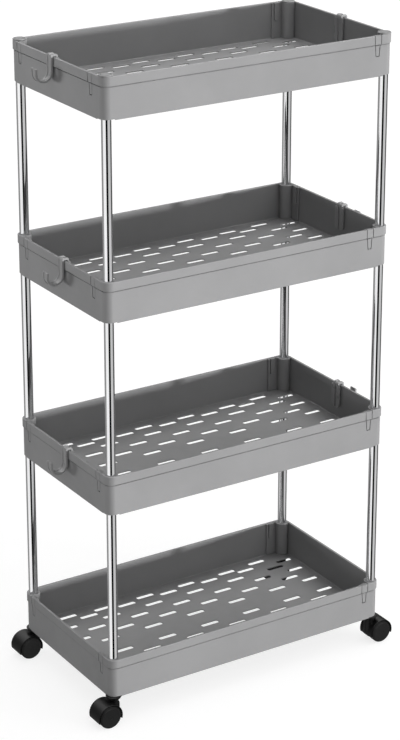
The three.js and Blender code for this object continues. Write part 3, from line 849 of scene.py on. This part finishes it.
class Nodes:
    """Adds linked nodes to a material's or a world's tree."""

    def __init__(self, tree):
        self.tree = tree
        tree.nodes.clear()

    def add(self, kind, **settings):
        node = self.tree.nodes.new(kind)
        for name, value in settings.items():
            setattr(node, name, value)
        return node

    def link(self, source, target):
        self.tree.links.new(source, target)

    def math(self, operation, *values):
        node = self.add("ShaderNodeMath", operation=operation)
        for i, value in enumerate(values):
            if isinstance(value, (int, float)):
                node.inputs[i].default_value = value
            else:
                self.link(value, node.inputs[i])
        return node.outputs[0]

    def noise(self, coordinates, scale, detail=3.0, roughness=0.55):
        node = self.add("ShaderNodeTexNoise")
        node.inputs["Scale"].default_value = scale
        node.inputs["Detail"].default_value = detail
        node.inputs["Roughness"].default_value = roughness
        self.link(coordinates, node.inputs["Vector"])
        return node.outputs["Fac"]

    def map_range(self, value, source, target=(0, 1)):
        node = self.add("ShaderNodeMapRange")
        node.inputs["From Min"].default_value = source[0]
        node.inputs["From Max"].default_value = source[1]
        node.inputs["To Min"].default_value = target[0]
        node.inputs["To Max"].default_value = target[1]
        self.link(value, node.inputs["Value"])
        return node.outputs["Result"]

    def spread(self, value, low, high):
        """Maps a noise value to a range round its middle."""
        return self.map_range(value, NOISE_RANGE, (low, high))

    def two_tone(self, value, positions, dark, light):
        """Maps a noise value to a colour between two."""
        ramp = self.add("ShaderNodeValToRGB")
        for stop, position, colour in zip(ramp.color_ramp.elements, positions, (dark, light)):
            stop.position = position
            stop.color = (*colour, 1)
        self.link(value, ramp.inputs["Fac"])
        return ramp.outputs["Color"]

    def bump(self, height, strength, distance):
        node = self.add("ShaderNodeBump")
        node.inputs["Strength"].default_value = strength
        node.inputs["Distance"].default_value = distance
        self.link(height, node.inputs["Height"])
        return node.outputs["Normal"]


def new_material(name):
    material = bpy.data.materials.new(name)
    material.use_nodes = True
    nodes = Nodes(material.node_tree)
    shader = nodes.add("ShaderNodeBsdfPrincipled")
    output = nodes.add("ShaderNodeOutputMaterial")
    nodes.link(shader.outputs["BSDF"], output.inputs["Surface"])
    coordinates = nodes.add("ShaderNodeTexCoord").outputs["Object"]
    return material, nodes, shader, coordinates


def moulded_plastic(name, dark, light, roughness, grain_scale, grain_height, specular=0.5):
    """Moulded plastic: a fine even grain, faint cloudy colour and a roughness that wanders a little."""
    material, nodes, shader, coordinates = new_material(name)
    cloud = nodes.noise(coordinates, 14, 4)
    nodes.link(nodes.two_tone(cloud, (0.35, 0.65), dark, light), shader.inputs["Base Color"])
    smear = nodes.noise(coordinates, 45, 2)
    nodes.link(nodes.spread(smear, roughness - 0.04, roughness + 0.05), shader.inputs["Roughness"])
    shader.inputs["Specular IOR Level"].default_value = specular
    grain = nodes.noise(coordinates, grain_scale, 2, 0.6)
    waves = nodes.noise(coordinates, 22, 1)
    height = nodes.math("ADD", grain, nodes.math("MULTIPLY", waves, 1.5))
    nodes.link(nodes.bump(height, 1.0, grain_height), shader.inputs["Normal"])
    return material


def polished_chrome():
    """Bright plating with drawing marks along the tube and the odd faint haze."""
    material, nodes, shader, coordinates = new_material("polished_chrome")
    shader.inputs["Metallic"].default_value = 1.0
    haze = nodes.noise(coordinates, 9, 3)
    nodes.link(nodes.two_tone(haze, NOISE_RANGE, *CHROME_TONES), shader.inputs["Base Color"])
    nodes.link(nodes.spread(haze, 0.06, 0.11), shader.inputs["Roughness"])
    stretch = nodes.add("ShaderNodeMapping")
    stretch.inputs["Scale"].default_value = (1, 1, 0.02)
    nodes.link(coordinates, stretch.inputs["Vector"])
    marks = nodes.noise(stretch.outputs["Vector"], 1800, 2)
    nodes.link(nodes.bump(marks, 0.35, 0.000004), shader.inputs["Normal"])
    return material


def pale_floor_material():
    material, nodes, shader, coordinates = new_material("pale_floor")
    tone = nodes.spread(nodes.noise(coordinates, 0.8, 2), *FLOOR_TONE)
    nodes.link(tone, shader.inputs["Base Color"])
    shader.inputs["Roughness"].default_value = 0.9
    shader.inputs["Specular IOR Level"].default_value = 0.1
    shader.inputs["Emission Color"].default_value = (1, 1, 1, 1)
    shader.inputs["Emission Strength"].default_value = FLOOR_GLOW
    return material


# ================================================================ studio

# Brightness of the studio's walls by compass sector, as (start in turns from -X, brightness)
SECTORS = (
    (0.0, 1.08),
    (0.129, 0.005),
    (0.255, 0.68),
    (0.422, 0.10),
    (0.661, 0.32),
    (0.94, 1.08),
)
SECTOR_EDGE = 0.006
# Brightness that mirror-like surfaces see overhead and straight above, each with the heights, as the
# direction's z, between which it is reached
OVERHEAD = 3.0
OVERHEAD_RISE = (0.35, 0.65)
ZENITH = 7.0
ZENITH_RISE = (0.75, 0.9)
BACKGROUND = 1.0
# The soft light's brightness from below, at the sides and overhead, and its gain towards +X and +Y
BELOW_LIGHT = 0.6
SIDE_LIGHT = 0.68
TOP_LIGHT = 1.25
TOP_LIGHT_RISE = (0.5, 0.8)
SOFT_GAIN = (0.51, -0.57, 0.0)
FLOOR_TONE = (0.28, 0.31)
FLOOR_GLOW = 0.78
SPOT_DISTANCE = 6.0
SPOT_HEIGHT = 0.15
SPOT_RADIUS = 0.9
SPOT_AIM = (0, 0, 0.95)
SPOT_AZIMUTH = 127
SPOT_WATTS = 1650
SPOT_HALF_ANGLE = 15.5
SPOT_BLEND = 0.9
SUN_AZIMUTH = -38
SUN_ELEVATION = 0.7
SUN_STRENGTH = 4.9
SUN_SOFTNESS = 3
FLOOR_HALF_SIZE = 30
FLOOR_LEVEL = -0.0004


def soft_light(nodes, direction, height):
    """Light for matt surfaces: brightest overhead, with a gentle lean towards one side."""
    lean = nodes.add("ShaderNodeVectorMath", operation="DOT_PRODUCT")
    nodes.link(direction, lean.inputs[0])
    lean.inputs[1].default_value = SOFT_GAIN
    sky = nodes.map_range(height, TOP_LIGHT_RISE, (SIDE_LIGHT, TOP_LIGHT))
    strength = nodes.add("ShaderNodeMix", data_type="FLOAT")
    nodes.link(nodes.math("GREATER_THAN", height, 0.0), strength.inputs["Factor"])
    strength.inputs["A"].default_value = BELOW_LIGHT
    nodes.link(nodes.math("ADD", lean.outputs["Value"], sky), strength.inputs["B"])
    background = nodes.add("ShaderNodeBackground")
    nodes.link(strength.outputs["Result"], background.inputs["Strength"])
    return background.outputs["Background"]


def mirrored_studio(nodes, parts):
    """What shiny surfaces mirror: bright and dark walls round the cart, and light overhead."""
    turn = nodes.math("ARCTAN2", parts.outputs["Y"], parts.outputs["X"])
    place = nodes.math("ADD", nodes.math("DIVIDE", turn, 2 * math.pi), 0.5)
    ramp = nodes.add("ShaderNodeValToRGB")
    ramp.color_ramp.interpolation = "LINEAR"
    stops = ramp.color_ramp.elements
    while len(stops) > 1:
        stops.remove(stops[-1])
    stops[0].position = 0
    stops[0].color = (SECTORS[0][1],) * 3 + (1,)
    for (start, level), (_, last) in zip(SECTORS[1:], SECTORS):
        for position, value in ((start - SECTOR_EDGE, last), (start + SECTOR_EDGE, level)):
            stop = stops.new(position)
            stop.color = (value, value, value, 1)
    nodes.link(place, ramp.inputs["Fac"])
    wall = nodes.add("ShaderNodeMix", data_type="RGBA")
    nodes.link(nodes.map_range(parts.outputs["Z"], OVERHEAD_RISE), wall.inputs["Factor"])
    nodes.link(ramp.outputs["Color"], wall.inputs["A"])
    overhead = nodes.map_range(parts.outputs["Z"], ZENITH_RISE, (OVERHEAD, ZENITH))
    nodes.link(overhead, wall.inputs["B"])
    mirrored = nodes.add("ShaderNodeBackground")
    nodes.link(wall.outputs["Result"], mirrored.inputs["Color"])
    return mirrored.outputs["Background"]


def add_world():
    """A studio that mirror-like, matt and camera rays each see in their own way."""
    world = bpy.data.worlds.new("studio")
    bpy.context.scene.world = world
    world.use_nodes = True
    nodes = Nodes(world.node_tree)
    direction = nodes.add("ShaderNodeTexCoord").outputs["Generated"]
    parts = nodes.add("ShaderNodeSeparateXYZ")
    nodes.link(direction, parts.inputs["Vector"])
    plain = nodes.add("ShaderNodeBackground")
    plain.inputs["Color"].default_value = (1, 1, 1, 1)
    plain.inputs["Strength"].default_value = BACKGROUND
    path = nodes.add("ShaderNodeLightPath")
    surroundings = soft_light(nodes, direction, parts.outputs["Z"])
    for ray, background in (
        ("Is Glossy Ray", mirrored_studio(nodes, parts)),
        ("Is Camera Ray", plain.outputs["Background"]),
    ):
        mix = nodes.add("ShaderNodeMixShader")
        nodes.link(path.outputs[ray], mix.inputs["Fac"])
        nodes.link(surroundings, mix.inputs[1])
        nodes.link(background, mix.inputs[2])
        surroundings = mix.outputs["Shader"]
    output = nodes.add("ShaderNodeOutputWorld")
    nodes.link(surroundings, output.inputs["Surface"])


def heading_from(azimuth, elevation):
    """The direction of a line of sight or light that comes from an azimuth and elevation."""
    turn = math.radians(azimuth)
    drop = math.radians(elevation)
    return Vector((math.sin(turn) * math.cos(drop), math.cos(turn) * math.cos(drop), -math.sin(drop)))


def add_light(data, location, heading):
    """Places a lamp. The chrome mirrors only the studio's walls, so lamps are left out of reflections."""
    light = bpy.data.objects.new(data.name, data)
    light.visible_glossy = False
    light.location = location
    light.rotation_mode = "QUATERNION"
    light.rotation_quaternion = heading.to_track_quat("-Z", "Y")
    bpy.context.scene.collection.objects.link(light)


def add_spot():
    """A distant soft spot, low down and aimed at the top tray, that fades out towards the bottom tray."""
    data = bpy.data.lights.new("back_left_light", "SPOT")
    data.energy = SPOT_WATTS
    data.spot_size = 2 * math.radians(SPOT_HALF_ANGLE)
    data.spot_blend = SPOT_BLEND
    data.shadow_soft_size = SPOT_RADIUS
    location = Vector((0, 0, SPOT_HEIGHT)) - heading_from(SPOT_AZIMUTH, 0) * SPOT_DISTANCE
    add_light(data, location, Vector(SPOT_AIM) - location)


def add_sun():
    """An even distant light that lies almost level."""
    data = bpy.data.lights.new("front_right_light", "SUN")
    data.energy = SUN_STRENGTH
    data.angle = math.radians(SUN_SOFTNESS)
    add_light(data, Vector(), heading_from(SUN_AZIMUTH, SUN_ELEVATION))


def add_floor():
    bm = bmesh.new()
    size = FLOOR_HALF_SIZE
    corners = ((-size, -size), (size, -size), (size, size), (-size, size))
    bm.faces.new(ring(bm, corners, FLOOR_LEVEL))
    mesh = bpy.data.meshes.new("studio_floor")
    bm.to_mesh(mesh)
    bm.free()
    mesh.materials.append(pale_floor_material())
    floor = bpy.data.objects.new("studio_floor", mesh)
    floor.visible_glossy = False
    floor.visible_diffuse = False
    bpy.context.scene.collection.objects.link(floor)


def add_camera():
    azimuth = math.radians(CAMERA_AZIMUTH)
    forward = heading_from(CAMERA_AZIMUTH, CAMERA_ELEVATION)
    right = Vector((math.cos(azimuth), -math.sin(azimuth), 0))
    up = right.cross(forward)
    data = bpy.data.cameras.new("camera")
    data.sensor_fit = "AUTO"
    data.sensor_width = 36
    data.lens = LENS
    data.shift_y = CAMERA_SHIFT
    data.clip_end = 100
    camera = bpy.data.objects.new("camera", data)
    target = Vector((0, 0, CAMERA_TARGET_HEIGHT))
    slide = right * CAMERA_SLIDE[0] + up * CAMERA_SLIDE[1]
    camera.location = target - forward * CAMERA_DISTANCE + slide
    camera.rotation_mode = "QUATERNION"
    camera.rotation_quaternion = forward.to_track_quat("-Z", "Y")
    bpy.context.scene.collection.objects.link(camera)
    bpy.context.scene.camera = camera


def main():
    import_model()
    add_camera()
    add_world()
    add_spot()
    add_sun()
    add_floor()
    bpy.context.scene.view_settings.view_transform = "Standard"

    tray_plastic = moulded_plastic("grey_tray_plastic", (0.19, 0.19, 0.192), (0.205, 0.205, 0.207),
                                   0.5, 1500, 0.00002)
    # The hooks' plastic is a lighter grey than the tray plastic. The lift is painted light, standing in
    # for the extra light the hooks' legs catch. Its lower roughness gives the hooks their glossier
    # surface.
    hook_plastic_with_painted_light = moulded_plastic("grey_hook_plastic", (0.225, 0.225, 0.227), (0.24, 0.24, 0.242),
                                   0.3, 1500, 0.00001)
    black = moulded_plastic("black_caster_plastic", (0.0025, 0.0025, 0.0025), (0.0035, 0.0035, 0.0035),
                            0.38, 1200, 0.00001, 0.16)
    tread = moulded_plastic("black_wheel_plastic", (0.005, 0.005, 0.005), (0.007, 0.007, 0.007),
                            0.45, 1200, 0.000015, 0.16)
    chrome = polished_chrome()

    add_trays(tray_plastic)
    add_tubes(chrome)
    add_caps(tray_plastic)
    add_hooks(hook_plastic_with_painted_light)
    add_casters(black, tread)


main()
